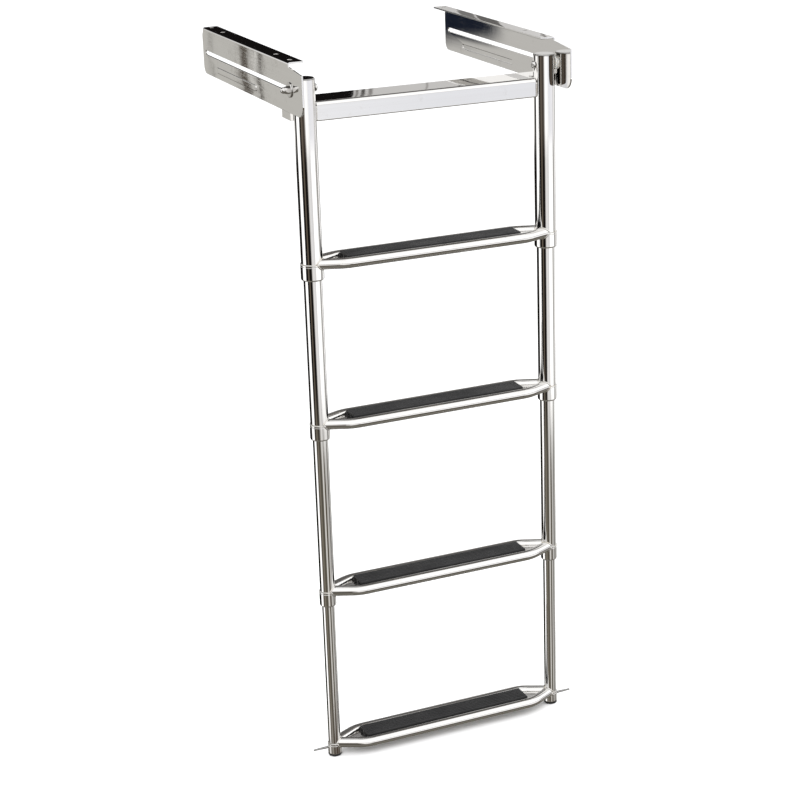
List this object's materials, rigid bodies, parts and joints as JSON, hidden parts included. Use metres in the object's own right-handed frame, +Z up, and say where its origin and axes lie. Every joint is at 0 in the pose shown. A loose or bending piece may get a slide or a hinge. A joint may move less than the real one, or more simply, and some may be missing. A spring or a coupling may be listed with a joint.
{
  "type": "boat boarding ladder",
  "caption": "Polished steel boarding ladder for under a swim platform: slotted side tracks, a pivot that slides and folds, telescoping legs and ribbed treads.",
  "frame": {"origin": "centre of the outer four mounting holes, on the top face of the track flanges, which is bolted up against the platform", "axes": "+Z up; +X to the ladder's right as the swimmer faces it; -Y outboard, towards the swimmer; the legs hang at y = -0.203"},
  "size_m": [0.451, 0.446, 1.0924],
  "materials": {
    "polished_tube": "mirror-polished stainless steel tube",
    "polished_sheet": "mirror-polished stainless steel sheet",
    "tray_steel": "polished stainless steel sheet, slightly grained",
    "bolt_steel": "polished stainless steel fasteners",
    "tread_rubber": "ribbed black rubber, semi-gloss on the ribs",
    "nylon": "natural nylon",
    "black_plastic": "black moulded plastic"
  },
  "bodies": {
    "tracks": {"left_track": "polished_sheet", "right_track": "polished_sheet"},
    "pivot_carriage": {"left_pivot_bolt": "bolt_steel", "right_pivot_bolt": "bolt_steel", "acorn_nuts": "bolt_steel", "outer_washers": "bolt_steel", "slide_washers": "nylon"},
    "upper_frame": {"left_upper_tube": "polished_tube", "right_upper_tube": "polished_tube", "left_top_cap": "polished_tube", "right_top_cap": "polished_tube", "crossbar": "polished_sheet", "left_upper_collar": "polished_tube", "right_upper_collar": "polished_tube", "upper_guide_bushes": "nylon", "step_1_front_rail": "polished_tube", "step_1_back_rail": "polished_tube", "step_1_tray": "tray_steel", "step_1_tread_pad": "tread_rubber", "step_1_pad_rivets": "tray_steel"},
    "second_stage": {"left_second_tube": "polished_tube", "right_second_tube": "polished_tube", "left_second_collar": "polished_tube", "right_second_collar": "polished_tube", "second_guide_bushes": "nylon", "second_stop_sleeves": "nylon", "step_2_front_rail": "polished_tube", "step_2_back_rail": "polished_tube", "step_2_tray": "tray_steel", "step_2_tread_pad": "tread_rubber", "step_2_pad_rivets": "tray_steel"},
    "third_stage": {"left_third_tube": "polished_tube", "right_third_tube": "polished_tube", "left_third_collar": "polished_tube", "right_third_collar": "polished_tube", "third_guide_bushes": "nylon", "third_stop_sleeves": "nylon", "step_3_front_rail": "polished_tube", "step_3_back_rail": "polished_tube", "step_3_tray": "tray_steel", "step_3_tread_pad": "tread_rubber", "step_3_pad_rivets": "tray_steel"},
    "lower_stage": {"left_lower_tube": "polished_tube", "right_lower_tube": "polished_tube", "left_lower_collar": "polished_tube", "right_lower_collar": "polished_tube", "left_end_plug": "black_plastic", "right_end_plug": "black_plastic", "left_side_pin": "polished_tube", "right_side_pin": "polished_tube", "lower_stop_sleeves": "nylon", "step_4_front_rail": "polished_tube", "step_4_back_rail": "polished_tube", "step_4_tray": "tray_steel", "step_4_tread_pad": "tread_rubber", "step_4_pad_rivets": "tray_steel"}
  },
  "joints": [
    {"name": "track_slide", "type": "slide", "parent": "tracks", "child": "pivot_carriage", "axis": [0, 1, 0], "range_m": [0, 0.315]},
    {"name": "ladder_pivot", "type": "hinge", "parent": "pivot_carriage", "child": "upper_frame", "pos_m": [0, -0.203, -0.038], "axis": [-1, 0, 0], "range_deg": [0, 90]},
    {"name": "second_stage_slide", "type": "slide", "parent": "upper_frame", "child": "second_stage", "axis": [0, 0, 1], "range_m": [0, 0.211]},
    {"name": "third_stage_slide", "type": "slide", "parent": "second_stage", "child": "third_stage", "axis": [0, 0, 1], "range_m": [0, 0.235]},
    {"name": "lower_stage_slide", "type": "slide", "parent": "third_stage", "child": "lower_stage", "axis": [0, 0, 1], "range_m": [0, 0.224]}
  ]
}
